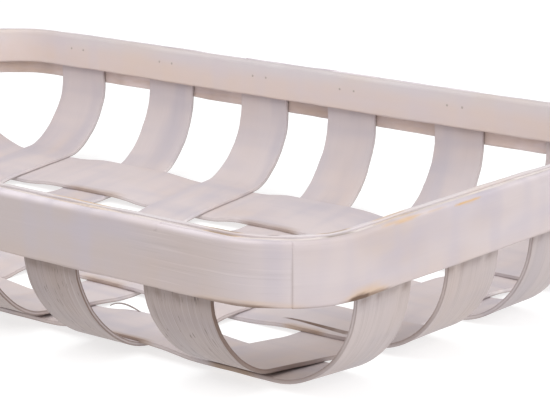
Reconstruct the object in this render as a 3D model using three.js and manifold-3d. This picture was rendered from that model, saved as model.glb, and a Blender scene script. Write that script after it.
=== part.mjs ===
// A shallow rectangular tray woven from flat split-bamboo strips, with a rim of bent bamboo hoops.
// Six cross strips and four long strips are woven over and under each other. Both ends of each strip
// turn up as staves, which two small brads each hold between an outer and an inner hoop, and a thin
// filler strip lies over the stave ends in the slot between the hoops.
// Sizes are in millimetres and +Z is up. The origin is on the floor under the middle of the tray,
// X runs along its length and Y across it.

import * as THREE from 'three';
import { mergeVertices } from 'three/addons/utils/BufferGeometryUtils.js';
import Module from 'manifold-3d';

const wasm = await Module();
wasm.setup();

// The whole tray
const TRAY_LENGTH = 450;
const TRAY_WIDTH = 296;
const TRAY_HEIGHT = 71.3;
const CORNER_RADIUS = 40; // outside of the outer hoop, seen from above

// The hoops, bent from thick split bamboo
const OUTER_HOOP_HEIGHT = 26;
const OUTER_HOOP_THICKNESS = 4.2;
const INNER_HOOP_HEIGHT = 19;
const INNER_HOOP_THICKNESS = 3.6;
const INNER_HOOP_RISE = 0.5; // the inner hoop stands this much above the outer one
const HOOP_EDGE_ROUND = 1.2; // sanded radius along the hoops' edges
const LAP_LENGTH = 60; // the hoops' ends overlap this far, each cut to half thickness
const NEAR_SEAM_ANGLE = 46; // degrees round the corner at +X and -Y, from the +X side
const FAR_SEAM_OFFSET = -46; // place along X of the seam on the +Y side
const INNER_SEAM_STRIP = 3; // the inner hoop's seam lies between this cross strip and the next

// The filler strip over the stave ends
const FILLER_HEIGHT = 3;
const FILLER_RECESS = 0.4; // below the top of the outer hoop

// The woven strips, numbered from -X to +X and from -Y to +Y. They are split and laid by hand, so
// each has its own width and lies a little off the even spacing, by its shift. One is laid askew,
// with its front end to the right by its skew. All three are parts of the usual width.
const STRIP_THICKNESS = 1.8;
const CROSS_STRIP_WIDTH = 32;
const LONG_STRIP_WIDTH = 35;
const CROSS_STRIPS = [
  { width: 1.015, shift: 0 },
  { width: 1, shift: 0.045 },
  { width: 1, shift: 0.08 },
  { width: 0.97, shift: -0.155, skew: 0.39 },
  { width: 0.92, shift: -0.085 },
  { width: 1.08, shift: 0 },
];
// The base is a shallow dish. The front and back edges of the outermost long strips are lifted by
// so many millimetres, and one of them is wider in the base than at the rim, by its flare.
const LONG_STRIPS = [
  { width: 1, shift: 0, frontLift: 3.8, backLift: 1 },
  { width: 1.015, shift: 0.02 },
  { width: 0.97, shift: 0.015 },
  { width: 1, shift: 0, frontLift: 1.4, backLift: 5.9, flare: 0.2 },
];
const CROSS_CORNER_MARGIN = 6; // from the round of a corner to the nearest cross strip's edge
const LONG_CORNER_MARGIN = 0.5; // from the round of a corner to the nearest long strip's edge
// A stiffness of 0.55 bends a strip's end along a round arc, and less lets it lean inwards.
const CROSS_BEND_STIFFNESS = 0.44;
const LONG_BEND_STIFFNESS = 0.56;

// The brads, which go from the inner hoop's face through the stave into the outer hoop
const BRAD_DIAMETER = 1.5;
const BRAD_POINT = 1.2; // length of the point
const BRAD_BITE = 2.8; // how far a brad goes into the outer hoop
const BRAD_SPACING = 9;
const BRAD_DROP = 7.5; // below the top of the outer hoop

// Fits
const FIT_GAP = 0.3; // between pieces that touch on the real tray
const SEAM_GAP = 0.4; // at the ends of the hoops and the filler

// Smoothness
const CORNER_STEPS = 12;
const EDGE_STEPS = 2;
const BEND_STEPS = 12;
const RAMP_STEPS = 6;
const BRAD_SIDES = 6;
const LAP_STEPS = 14;

const HALF_LENGTH = TRAY_LENGTH / 2;
const HALF_WIDTH = TRAY_WIDTH / 2;
const OUTER_HOOP_TOP = TRAY_HEIGHT - INNER_HOOP_RISE;
const OUTER_HOOP_BOTTOM = OUTER_HOOP_TOP - OUTER_HOOP_HEIGHT;
const INNER_HOOP_BOTTOM = TRAY_HEIGHT - INNER_HOOP_HEIGHT;
const FILLER_TOP = OUTER_HOOP_TOP - FILLER_RECESS;
const STAVE_TOP = FILLER_TOP - FILLER_HEIGHT - FIT_GAP;
const BRAD_LEVEL = OUTER_HOOP_TOP - BRAD_DROP;

// Lengths along the rim's outside: half of a straight side along X and along Y, and a corner.
const HALF_SIDE_X = HALF_LENGTH - CORNER_RADIUS;
const HALF_SIDE_Y = HALF_WIDTH - CORNER_RADIUS;
const CORNER_ARC = CORNER_RADIUS * Math.PI / 2;

// Distances inwards from the rim's outside
const SLOT_DEPTH = OUTER_HOOP_THICKNESS;
const STAVE_DEPTH = SLOT_DEPTH + FIT_GAP + STRIP_THICKNESS / 2;
const INNER_HOOP_DEPTH = SLOT_DEPTH + STRIP_THICKNESS + 2 * FIT_GAP;
const RIM_DEPTH = INNER_HOOP_DEPTH + INNER_HOOP_THICKNESS;

// Heights of a strip's middle plane where it passes under and over another
const UNDER_LEVEL = STRIP_THICKNESS / 2;
const OVER_LEVEL = UNDER_LEVEL + STRIP_THICKNESS + FIT_GAP;
const WEAVE_TOP = OVER_LEVEL + STRIP_THICKNESS / 2;

// Finishes
const HOOP_FINISH = { color: 0xd9cdc9, roughness: 0.62, metalness: 0 };
const FILLER_FINISH = { color: 0xd8cbb4, roughness: 0.7, metalness: 0 };
const STRIP_FINISH = { color: 0xcfc5c4, roughness: 0.68, metalness: 0 };
const BRAD_FINISH = { color: 0x8d8784, roughness: 0.5, metalness: 0.6 };

// How far a cutter reaches past what it cuts
const CUT_MARGIN = 1;

// A closed geometry as a solid that can be cut.
function toSolid(geometry) {
  const bare = geometry.clone();
  bare.deleteAttribute('normal');
  bare.deleteAttribute('uv');
  const merged = mergeVertices(bare, 1e-4);
  return new wasm.Manifold(new wasm.Mesh({
    numProp: 3,
    vertProperties: new Float32Array(merged.attributes.position.array),
    triVerts: new Uint32Array(merged.index.array),
  }));
}

function toGeometry(solid) {
  const mesh = solid.getMesh();
  const geometry = new THREE.BufferGeometry();
  geometry.setAttribute('position', new THREE.BufferAttribute(mesh.vertProperties, 3));
  geometry.setIndex(new THREE.BufferAttribute(mesh.triVerts, 1));
  geometry.computeVertexNormals();
  return geometry;
}

// The rim's plan, a rectangle with round corners, drawn in from the rim's outside by a depth.
function drawRimPlan(path, depth) {
  const r = CORNER_RADIUS - depth;
  path.moveTo(HALF_LENGTH - depth, 0);
  path.absarc(HALF_SIDE_X, HALF_SIDE_Y, r, 0, Math.PI / 2, false);
  path.absarc(-HALF_SIDE_X, HALF_SIDE_Y, r, Math.PI / 2, Math.PI, false);
  path.absarc(-HALF_SIDE_X, -HALF_SIDE_Y, r, Math.PI, 1.5 * Math.PI, false);
  path.absarc(HALF_SIDE_X, -HALF_SIDE_Y, r, 1.5 * Math.PI, 2 * Math.PI, false);
  path.closePath();
  return path;
}

// A closed band that follows the rim from one depth to another, with edges rounded by a radius.
function rimBand(outsideDepth, insideDepth, bottom, top, round) {
  const plan = drawRimPlan(new THREE.Shape(), outsideDepth);
  plan.holes.push(drawRimPlan(new THREE.Path(), insideDepth));
  const geometry = new THREE.ExtrudeGeometry(plan, {
    depth: top - bottom - 2 * round,
    bevelEnabled: round > 0,
    bevelThickness: round,
    bevelSize: round,
    bevelOffset: -round,
    bevelSegments: EDGE_STEPS,
    curveSegments: CORNER_STEPS,
  });
  return geometry.translate(0, 0, bottom + round);
}

// The point of the rim's plan at a distance along the outside, counter-clockwise from the middle
// of the +X side, and drawn in by a depth.
function rimPoint(distance, depth) {
  const sides = [HALF_SIDE_Y, 2 * HALF_SIDE_X, 2 * HALF_SIDE_Y, 2 * HALF_SIDE_X, HALF_SIDE_Y];
  const corners = [
    [HALF_SIDE_X, HALF_SIDE_Y],
    [-HALF_SIDE_X, HALF_SIDE_Y],
    [-HALF_SIDE_X, -HALF_SIDE_Y],
    [HALF_SIDE_X, -HALF_SIDE_Y],
  ];
  const total = 4 * (HALF_SIDE_X + HALF_SIDE_Y + CORNER_ARC);
  let rest = ((distance % total) + total) % total;
  for (let i = 0; i < sides.length; i += 1) {
    const angle = i * Math.PI / 2;
    const outwards = new THREE.Vector2(Math.cos(angle), Math.sin(angle));
    const along = new THREE.Vector2(-Math.sin(angle), Math.cos(angle));
    if (rest <= sides[i] || i === corners.length) {
      const start = i === 0
        ? new THREE.Vector2(HALF_SIDE_X, 0)
        : new THREE.Vector2(...corners[i - 1]);
      return start.addScaledVector(outwards, CORNER_RADIUS - depth).addScaledVector(along, rest);
    }
    rest -= sides[i];
    if (rest <= CORNER_ARC) {
      const turn = angle + rest / CORNER_RADIUS;
      return new THREE.Vector2(...corners[i])
        .add(new THREE.Vector2(Math.cos(turn), Math.sin(turn)).multiplyScalar(CORNER_RADIUS - depth));
    }
    rest -= CORNER_ARC;
  }
  return null;
}

// A solid over the whole height of the rim, between two distances along it and two depths.
function rimCutter(from, to, outsideDepth, insideDepth, steps) {
  const outline = [];
  for (let i = 0; i <= steps; i += 1) {
    outline.push(rimPoint(from + (to - from) * i / steps, outsideDepth));
  }
  for (let i = steps; i >= 0; i -= 1) {
    outline.push(rimPoint(from + (to - from) * i / steps, insideDepth));
  }
  const geometry = new THREE.ExtrudeGeometry(new THREE.Shape(outline), {
    depth: TRAY_HEIGHT - OUTER_HOOP_BOTTOM + 2 * CUT_MARGIN,
    bevelEnabled: false,
  });
  return toSolid(geometry.translate(0, 0, OUTER_HOOP_BOTTOM - CUT_MARGIN));
}

// The cut of a half lap that ends at a distance along the rim: the outer half of the thickness ends
// there, the inner half one lap length before it, and a gap parts the halves in between.
function lapCut(end, outsideDepth, insideDepth) {
  const middle = (outsideDepth + insideDepth) / 2;
  const half = SEAM_GAP / 2;
  const start = end - LAP_LENGTH;
  return rimCutter(start - half, end + half, middle - FIT_GAP / 2, middle + FIT_GAP / 2, LAP_STEPS)
    .add(rimCutter(end - half, end + half, outsideDepth - CUT_MARGIN, middle, 1))
    .add(rimCutter(start - half, start + half, middle, insideDepth + CUT_MARGIN, 1));
}

// Each strip's width, and where it lies across its run. The outermost ones stand just clear of the
// round corners, and the others are evenly spaced between them but for their own shift.
function placeStrips(strips, usualWidth, halfSpan, cornerMargin) {
  const reach = halfSpan - CORNER_RADIUS - cornerMargin;
  const first = -reach + strips[0].width * usualWidth / 2;
  const last = reach - strips[strips.length - 1].width * usualWidth / 2;
  const pitch = (last - first) / (strips.length - 1);
  return strips.map(({ width, shift, skew = 0, frontLift = 0, backLift = 0, flare = 0 }, i) => ({
    width: width * usualWidth,
    middle: first + i * pitch + shift * usualWidth,
    skew: skew * usualWidth,
    flare: flare * usualWidth,
    frontLift,
    backLift,
  }));
}

const crossStrips = placeStrips(
  CROSS_STRIPS, CROSS_STRIP_WIDTH, HALF_LENGTH, CROSS_CORNER_MARGIN,
);
const longStrips = placeStrips(LONG_STRIPS, LONG_STRIP_WIDTH, HALF_WIDTH, LONG_CORNER_MARGIN);

// A cross strip's middle along X at a place along Y. One laid askew is in its own place at the back.
function crossMiddle(strip, y) {
  return strip.middle + strip.skew * (HALF_WIDTH - y) / TRAY_WIDTH;
}

// In plain weave the strips take turns. Row and column count from 1.
const crossGoesOver = (cross, long) => (cross + long) % 2 === 1;

// The side view of one strip's middle line, along its run and up: down one stave, round the bend,
// straight under or over each strip that it crosses, with a slope between, and up the other stave.
// Each crossing gives where it starts and ends and how far it is lifted there.
function stripLine(halfSpan, stiffness, crossings) {
  const stave = halfSpan - STAVE_DEPTH;
  const bendTop = OUTER_HOOP_BOTTOM;
  const flats = crossings.map(({ from, to, over, fromLift = 0, toLift = 0 }) => {
    const level = over ? OVER_LEVEL : UNDER_LEVEL;
    const start = new THREE.Vector2(from - FIT_GAP, level + fromLift);
    const end = new THREE.Vector2(to + FIT_GAP, level + toLift);
    return { start, end, slope: (end.y - start.y) / (end.x - start.x) };
  });
  const pieces = [];
  const point = (run, up) => new THREE.Vector2(run, up);
  const onwards = (from, slope, run) => point(run, from.y + slope * (run - from.x));
  const bend = (side, flatEnd, slope) => {
    const run = side * stave - flatEnd.x;
    const drop = bendTop - flatEnd.y;
    return [
      point(side * stave, bendTop),
      point(side * stave, bendTop - stiffness * drop),
      onwards(flatEnd, slope, flatEnd.x + stiffness * run),
      flatEnd,
    ];
  };
  const first = flats[0];
  const last = flats[flats.length - 1];
  pieces.push([new THREE.LineCurve(point(-stave, STAVE_TOP), point(-stave, bendTop)), 1]);
  pieces.push([new THREE.CubicBezierCurve(...bend(-1, first.start, first.slope)), BEND_STEPS]);
  flats.forEach((flat, i) => {
    pieces.push([new THREE.LineCurve(flat.start, flat.end), 1]);
    if (flat === last) return;
    const next = flats[i + 1];
    const half = (flat.end.x + next.start.x) / 2;
    pieces.push([new THREE.CubicBezierCurve(
      flat.end, onwards(flat.end, flat.slope, half), onwards(next.start, next.slope, half), next.start,
    ), RAMP_STEPS]);
  });
  const upwards = bend(1, last.end, last.slope).reverse();
  pieces.push([new THREE.CubicBezierCurve(...upwards), BEND_STEPS]);
  pieces.push([new THREE.LineCurve(point(stave, bendTop), point(stave, STAVE_TOP)), 1]);
  return pieces;
}

// A strip, made by giving its middle line a thickness and its side view a width. It runs along X.
function stripGeometry(width, halfSpan, stiffness, crossings) {
  const left = [];
  const right = [];
  stripLine(halfSpan, stiffness, crossings).forEach(([curve, steps], piece) => {
    for (let i = piece === 0 ? 0 : 1; i <= steps; i += 1) {
      const place = curve.getPoint(i / steps);
      const tangent = curve.getTangent(i / steps);
      const normal = new THREE.Vector2(-tangent.y, tangent.x);
      left.push(place.clone().addScaledVector(normal, STRIP_THICKNESS / 2));
      right.push(place.clone().addScaledVector(normal, -STRIP_THICKNESS / 2));
    }
  });
  const sideView = new THREE.Shape([...right, ...left.reverse()]);
  const geometry = new THREE.ExtrudeGeometry(sideView, { depth: width, bevelEnabled: false });
  return geometry.rotateX(Math.PI / 2).translate(0, width / 2, 0);
}

// Lifts and widens a long strip's edges in the base. Both fade out up the bends towards the rim.
function dishLongStrip(geometry, { flare, frontLift, backLift }) {
  const position = geometry.attributes.position;
  for (let i = 0; i < position.count; i += 1) {
    const z = position.getZ(i);
    const share = (OUTER_HOOP_BOTTOM - z) / (OUTER_HOOP_BOTTOM - WEAVE_TOP);
    const kept = Math.min(Math.max(share, 0), 1);
    const atBack = position.getY(i) > 0;
    position.setY(i, position.getY(i) + (atBack ? kept * flare : 0));
    position.setZ(i, z + kept * (atBack ? backLift : frontLift));
  }
  return geometry;
}

// Lays a strip that runs along X askew, so that its -X end lies off to the -Y side.
function skewStrip(geometry, skew) {
  const position = geometry.attributes.position;
  for (let i = 0; i < position.count; i += 1) {
    const shift = skew * (HALF_WIDTH - position.getX(i)) / TRAY_WIDTH;
    position.setY(i, position.getY(i) - shift);
  }
  return geometry;
}

// A brad lies along Y with its point at +Y and its blunt end at the origin.
const BRAD_LENGTH = RIM_DEPTH - SLOT_DEPTH + BRAD_BITE;
const bradGeometry = new THREE.LatheGeometry([
  new THREE.Vector2(0, 0),
  new THREE.Vector2(BRAD_DIAMETER / 2, 0),
  new THREE.Vector2(BRAD_DIAMETER / 2, BRAD_LENGTH - BRAD_POINT),
  new THREE.Vector2(0, BRAD_LENGTH),
], BRAD_SIDES);

// The hole for a brad, a gap wider and deeper than the brad, open towards the tray's inside.
const BRAD_HOLE_RADIUS = BRAD_DIAMETER / 2 + FIT_GAP / Math.cos(Math.PI / BRAD_SIDES);
const bradHoleGeometry = new THREE.CylinderGeometry(
  BRAD_HOLE_RADIUS, BRAD_HOLE_RADIUS, BRAD_LENGTH + FIT_GAP + CUT_MARGIN, BRAD_SIDES,
).translate(0, (BRAD_LENGTH + FIT_GAP - CUT_MARGIN) / 2, 0);

// Every stave gets two brads. Each place has the brad's blunt end and the turn that points it out.
function bradPlaces() {
  const places = [];
  const sides = [-BRAD_SPACING / 2, BRAD_SPACING / 2];
  crossStrips.forEach((strip, i) => {
    for (const end of [-1, 1]) {
      const y = end * (HALF_WIDTH - RIM_DEPTH);
      for (const side of sides) {
        places.push({
          name: `brad_cross_${i + 1}_${end < 0 ? 'front' : 'back'}_${side < 0 ? 'a' : 'b'}`,
          position: new THREE.Vector3(crossMiddle(strip, y) + side, y, BRAD_LEVEL),
          turn: end < 0 ? Math.PI : 0,
        });
      }
    }
  });
  longStrips.forEach(({ middle }, i) => {
    for (const end of [-1, 1]) {
      for (const side of sides) {
        places.push({
          name: `brad_long_${i + 1}_${end < 0 ? 'left' : 'right'}_${side < 0 ? 'a' : 'b'}`,
          position: new THREE.Vector3(end * (HALF_LENGTH - RIM_DEPTH), middle + side, BRAD_LEVEL),
          turn: -end * Math.PI / 2,
        });
      }
    }
  });
  return places;
}

const brads = bradPlaces();
const bradHoles = brads.map(({ position, turn }) => toSolid(
  bradHoleGeometry.clone().rotateZ(turn).translate(position.x, position.y, position.z),
));
const allBradHoles = bradHoles.slice(1).reduce((sum, hole) => sum.add(hole), bradHoles[0]);

const tray = new THREE.Group();

function addPiece(name, geometry, finish) {
  const piece = new THREE.Mesh(geometry, new THREE.MeshStandardMaterial(finish));
  piece.name = name;
  tray.add(piece);
  return piece;
}

// The outer hoop is bent from two strips, whose lapped ends meet in one corner and on the far side.
function addOuterHoop() {
  const nearSeam = -HALF_SIDE_Y - CORNER_RADIUS * NEAR_SEAM_ANGLE * Math.PI / 180;
  const farSeam = HALF_SIDE_Y + CORNER_ARC + HALF_SIDE_X - FAR_SEAM_OFFSET;
  const band = rimBand(0, OUTER_HOOP_THICKNESS, OUTER_HOOP_BOTTOM, OUTER_HOOP_TOP, HOOP_EDGE_ROUND);
  const halves = toSolid(band)
    .subtract(lapCut(nearSeam, 0, OUTER_HOOP_THICKNESS))
    .subtract(lapCut(farSeam, 0, OUTER_HOOP_THICKNESS))
    .subtract(allBradHoles)
    .decompose();
  halves.sort((a, b) => a.boundingBox().min[0] - b.boundingBox().min[0]);
  addPiece('outer_hoop_left', toGeometry(halves[0]), HOOP_FINISH);
  addPiece('outer_hoop_right', toGeometry(halves[1]), HOOP_FINISH);
}

// The inner hoop is one strip, whose lapped ends meet on the -Y side, clear of the brads.
function addInnerHoop() {
  const before = crossMiddle(crossStrips[INNER_SEAM_STRIP - 1], -HALF_WIDTH);
  const after = crossMiddle(crossStrips[INNER_SEAM_STRIP], -HALF_WIDTH);
  const seam = -HALF_SIDE_Y - CORNER_ARC - HALF_SIDE_X + (before + after) / 2;
  const band = rimBand(INNER_HOOP_DEPTH, RIM_DEPTH, INNER_HOOP_BOTTOM, TRAY_HEIGHT, HOOP_EDGE_ROUND);
  const hoop = toSolid(band)
    .subtract(lapCut(seam, INNER_HOOP_DEPTH, RIM_DEPTH))
    .subtract(allBradHoles);
  addPiece('inner_hoop', toGeometry(hoop), HOOP_FINISH);
}

// The filler strip lies in the slot between the hoops, on the ends of the staves.
function addFiller() {
  const outside = SLOT_DEPTH + FIT_GAP;
  const inside = outside + STRIP_THICKNESS;
  const ring = toSolid(rimBand(outside, inside, FILLER_TOP - FILLER_HEIGHT, FILLER_TOP, 0));
  const half = SEAM_GAP / 2;
  const seamCut = rimCutter(-half, half, outside - CUT_MARGIN, inside + CUT_MARGIN, 1);
  addPiece('rim_filler', toGeometry(ring.subtract(seamCut)), FILLER_FINISH);
}

// One woven strip with its four brad holes. The holes are turned into the strip's own frame.
function addStrip(name, geometry, turn, position) {
  const solid = toSolid(geometry);
  const degrees = -turn * 180 / Math.PI;
  const holes = allBradHoles.translate([-position.x, -position.y, 0]).rotate([0, 0, degrees]);
  const piece = addPiece(name, toGeometry(solid.subtract(holes)), STRIP_FINISH);
  piece.rotation.z = turn;
  piece.position.copy(position);
}

function addStrips() {
  crossStrips.forEach((strip, i) => {
    const crossings = longStrips.map((long, j) => ({
      from: long.middle - long.width / 2,
      to: long.middle + long.width / 2 + long.flare,
      fromLift: long.frontLift,
      toLift: long.backLift,
      over: crossGoesOver(i + 1, j + 1),
    }));
    const geometry = stripGeometry(strip.width, HALF_WIDTH, CROSS_BEND_STIFFNESS, crossings);
    const position = new THREE.Vector3(strip.middle, 0, 0);
    addStrip(`cross_strip_${i + 1}`, skewStrip(geometry, strip.skew), Math.PI / 2, position);
  });
  longStrips.forEach((strip, j) => {
    const frontEdge = strip.middle - strip.width / 2;
    const backEdge = strip.middle + strip.width / 2 + strip.flare;
    const crossings = crossStrips.map((cross, i) => ({
      from: crossMiddle(cross, backEdge) - cross.width / 2,
      to: crossMiddle(cross, frontEdge) + cross.width / 2,
      over: !crossGoesOver(i + 1, j + 1),
    }));
    const geometry = stripGeometry(strip.width, HALF_LENGTH, LONG_BEND_STIFFNESS, crossings);
    const position = new THREE.Vector3(0, strip.middle, 0);
    addStrip(`long_strip_${j + 1}`, dishLongStrip(geometry, strip), 0, position);
  });
}

function addBrads() {
  for (const { name, position, turn } of brads) {
    const piece = addPiece(name, bradGeometry, BRAD_FINISH);
    piece.position.copy(position);
    piece.rotation.z = turn;
  }
}

addOuterHoop();
addInnerHoop();
addFiller();
addStrips();
addBrads();

export default tray;
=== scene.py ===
import math

import bmesh
import bpy
import numpy as np
from mathutils import Euler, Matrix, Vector


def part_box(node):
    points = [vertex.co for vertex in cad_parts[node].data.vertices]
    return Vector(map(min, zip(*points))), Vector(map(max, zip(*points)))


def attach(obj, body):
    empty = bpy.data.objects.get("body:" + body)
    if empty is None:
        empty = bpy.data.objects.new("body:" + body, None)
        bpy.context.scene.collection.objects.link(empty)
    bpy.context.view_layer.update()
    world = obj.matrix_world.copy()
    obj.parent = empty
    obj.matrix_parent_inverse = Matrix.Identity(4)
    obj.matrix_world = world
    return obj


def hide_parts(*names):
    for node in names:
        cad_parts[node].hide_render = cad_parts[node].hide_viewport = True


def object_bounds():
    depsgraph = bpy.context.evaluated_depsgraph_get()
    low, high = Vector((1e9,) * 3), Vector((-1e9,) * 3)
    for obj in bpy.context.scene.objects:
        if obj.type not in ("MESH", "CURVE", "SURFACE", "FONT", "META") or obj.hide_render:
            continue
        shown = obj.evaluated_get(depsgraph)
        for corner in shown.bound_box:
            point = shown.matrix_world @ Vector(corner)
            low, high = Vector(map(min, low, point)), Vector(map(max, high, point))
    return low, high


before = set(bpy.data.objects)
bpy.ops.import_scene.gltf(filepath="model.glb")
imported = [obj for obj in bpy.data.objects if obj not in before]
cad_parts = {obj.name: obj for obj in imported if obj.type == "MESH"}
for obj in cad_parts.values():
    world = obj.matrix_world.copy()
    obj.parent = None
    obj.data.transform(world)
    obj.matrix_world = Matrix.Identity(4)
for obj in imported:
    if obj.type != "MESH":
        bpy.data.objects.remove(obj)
cad_low, cad_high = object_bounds()


# The camera looks down on the near corner of the tray, between its long front side and its right
# end. Place, turn and lens were worked out from the photograph's rim and weave.
CAMERA_PLACE = (0.7124, -0.7591, 0.2824)
CAMERA_TILT = 76.064
CAMERA_TURN = 39.216
CAMERA_LENS = 147.54
SENSOR_WIDTH = 36

camera_data = bpy.data.cameras.new("camera")
camera_data.sensor_width = SENSOR_WIDTH
camera_data.sensor_fit = "HORIZONTAL"
camera_data.lens = CAMERA_LENS
camera_data.clip_start = 0.01
camera_data.clip_end = 20
camera = bpy.data.objects.new("camera", camera_data)
camera.location = CAMERA_PLACE
camera.rotation_euler = Euler((math.radians(CAMERA_TILT), 0, math.radians(CAMERA_TURN)))
bpy.context.scene.collection.objects.link(camera)
bpy.context.scene.camera = camera
bpy.context.scene.view_settings.view_transform = "Standard"


# The studio is a plain white paper floor under four large soft lights: over the tray, off its right
# end, behind the camera, and high on the left. The paper shines a little by itself, so that the
# shadows under the tray stay pale.
FLOOR_SIZE = 12.0
SKY_STRENGTH = 0.62
PAPER_SHINE = 0.66
PAPER_ROUGHNESS = 0.9
LIGHTS_AIM = (0.0, 0.0, 0.03)

# Each light's name, place, size and power.
SOFTBOXES = [
    ("softbox_over", (0.1, 0.3, 1.9), 2.4, 12.0),
    ("softbox_right", (2.0, 0.1, 1.0), 1.6, 17.6),
    ("softbox_camera", (1.4, -1.6, 1.7), 1.4, 12.5),
    ("softbox_left", (-0.6, -1.3, 2.0), 1.4, 15.5),
]


def linear(hex_colour):
    """The linear colour of an sRGB hex value."""
    parts = [int(hex_colour[i : i + 2], 16) / 255 for i in (0, 2, 4)]
    return [c / 12.92 if c <= 0.04045 else ((c + 0.055) / 1.055) ** 2.4 for c in parts] + [1]


world = bpy.data.worlds.new("studio")
world.use_nodes = True
world.node_tree.nodes["Background"].inputs["Color"].default_value = linear("ffffff")
world.node_tree.nodes["Background"].inputs["Strength"].default_value = SKY_STRENGTH
bpy.context.scene.world = world

for name, place, size, power in SOFTBOXES:
    light_data = bpy.data.lights.new(name, "AREA")
    light_data.shape = "SQUARE"
    light_data.size = size
    light_data.energy = power
    light = bpy.data.objects.new(name, light_data)
    light.location = place
    light.rotation_euler = (Vector(LIGHTS_AIM) - Vector(place)).to_track_quat("-Z", "Y").to_euler()
    bpy.context.scene.collection.objects.link(light)

white_paper = bpy.data.materials.new("white_paper")
white_paper.use_nodes = True
paper_shader = white_paper.node_tree.nodes["Principled BSDF"]
paper_shader.inputs["Base Color"].default_value = linear("aaaaaa")
paper_shader.inputs["Roughness"].default_value = PAPER_ROUGHNESS
paper_shader.inputs["Emission Color"].default_value = linear("ffffff")
paper_shader.inputs["Emission Strength"].default_value = PAPER_SHINE
floor_form = bmesh.new()
bmesh.ops.create_grid(floor_form, x_segments=1, y_segments=1, size=FLOOR_SIZE / 2)
floor_mesh = bpy.data.meshes.new("floor")
floor_form.to_mesh(floor_mesh)
floor_form.free()
floor_mesh.materials.append(white_paper)
floor = bpy.data.objects.new("floor", floor_mesh)
bpy.context.scene.collection.objects.link(floor)


# The woven strips: six cross strips and four long ones, split flat from bamboo and whitewashed.
# They lie over and under each other in the base, and both ends of each are bent up as staves.
# Each is made flat, with eased edges and its own waver, and then bent along its line.
MM = 0.001
HALF_LENGTH = cad_high.x
HALF_WIDTH = cad_high.y
BEND_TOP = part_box("outer_hoop_left")[0].z
STAVE_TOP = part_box("cross_strip_1")[1].z
CROSS_NAMES = [f"cross_strip_{i}" for i in range(1, 7)]
LONG_NAMES = [f"long_strip_{i}" for i in range(1, 5)]
STRIP_THICKNESS = 1.9 * MM
STRIP_EASE = 0.3 * MM
STRIP_CELL = 2.5 * MM
STRIP_CELLS_ACROSS = 10
EDGE_MARGIN = 0.3 * MM
HALF_STAVE = 0.9 * MM
CROSSING_MARGIN = 0.3 * MM
LEVEL_UNDER = 0.98 * MM
LEVEL_OVER = 2.98 * MM
WEAVE_TOP = 3.9 * MM
LINE_STEPS = 24
TANGENT_STEP = 0.5 * MM
EASE_SEGMENTS = 2
SMOOTH_ANGLE = math.radians(50)
SHARP_ANGLE = 1.0
LENGTHWISE = 0.9

# How far a strip's bends reach, as a share of the way from the base to the rim.
STIFFNESS = {"cross": 0.44, "long": 0.56}

# One cross strip lies askew, one long strip is wider in the base than at the rim, and two long
# strips have their front and back edges lifted in the base, the cross strips with them.
STRIP_SKEWS = {"cross_strip_4": 12.48 * MM}
STRIP_FLARES = {"long_strip_4": 7.0 * MM}
STRIP_LIFTS = {"long_strip_1": (2.2 * MM, 0.0), "long_strip_4": (1.4 * MM, 5.9 * MM)}
CROSSING_LIFTS = {"long_strip_1": (3.8 * MM, 0.0), "long_strip_4": (1.4 * MM, 5.9 * MM)}

# A cross strip's front bend that starts this much further in and this much lower.
LOW_BENDS = {"cross_strip_5": (5.0 * MM, 1.7 * MM)}

# The strips' long waver and short ripple along their edges, their sway, and how far they are
# cupped.
EDGE_INSET = 0.3 * MM
EDGE_WAVER = 0.35 * MM
EDGE_WAVER_LENGTH = 90 * MM
EDGE_RIPPLE = 0.12 * MM
EDGE_RIPPLE_LENGTH = 17 * MM
SWAY = 0.25 * MM
SWAY_LENGTH = 210 * MM
CUP = 0.1 * MM
CUP_WAVER = 0.12 * MM
CUP_WAVER_LENGTH = 110 * MM

# A strip starts at its own place in the grain. Its two faces lie beyond this level.
GRAIN_SHIFT = 1.37
FACE_LEVEL = 0.3 * MM


def add_node(material, kind, inputs, **settings):
    """Adds a node to a material. inputs gives each socket a value or another node's output."""
    node = material.node_tree.nodes.new(kind)
    for name, value in settings.items():
        setattr(node, name, value)
    for socket, value in inputs.items():
        if isinstance(value, bpy.types.NodeSocket):
            material.node_tree.links.new(value, node.inputs[socket])
        else:
            node.inputs[socket].default_value = value
    return node


# Whitewashed split bamboo: a thin matt wash over fine fibres. The eye gets a smooth pinkish white
# with soft warm and cool places, and fibres only where the wash is thin. The wear-and-shade
# attribute says how far the wash is greyed, worn to bare bamboo or stained, and where shade is
# painted in grey or brown. Fibrous says how far fibres show, and the painted-light-and-cool-tone
# attribute says where a paler tint is painted as light, and where a cooler white lies.
WASH_ROUGHNESS = 0.5
WASH_IOR = 1.46
RELIEF_STRENGTH = 0.3
RELIEF_HEIGHT = 0.1 * MM
LEAST_PATCHY = 0.7
MOST_PATCHY = 1.15
SPECKLED_FROM = 0.55

# The mix node's sockets for colours: the share of the upper one, both colours, and the result.
MIX_SHARE, MIX_UNDER, MIX_OVER, MIX_RESULT = 0, 6, 7, 2

# Each pattern's length along the grain and width across it in millimetres, its detail, and where it
# starts and is full. Real fibres are about 0.3 mm wide, too fine to show in the picture, so they
# are drawn two or three times as wide.
PATTERNS = [
    ("warm", 80, 34, 2, 0.42, 0.72),
    ("cool", 60, 18, 2, 0.44, 0.74),
    ("band", 13, 70, 1, 0.42, 0.75),
    ("patchy", 14, 4, 2, 0.25, 0.7),
    ("streak", 110, 2.4, 3, 0.45, 0.7),
    ("fibre", 30, 0.6, 2, 0.54, 0.66),
    ("pale_fibre", 46, 0.9, 2, 0.54, 0.72),
    ("fleck", 5, 0.7, 0, 0.76, 0.82),
]


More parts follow.
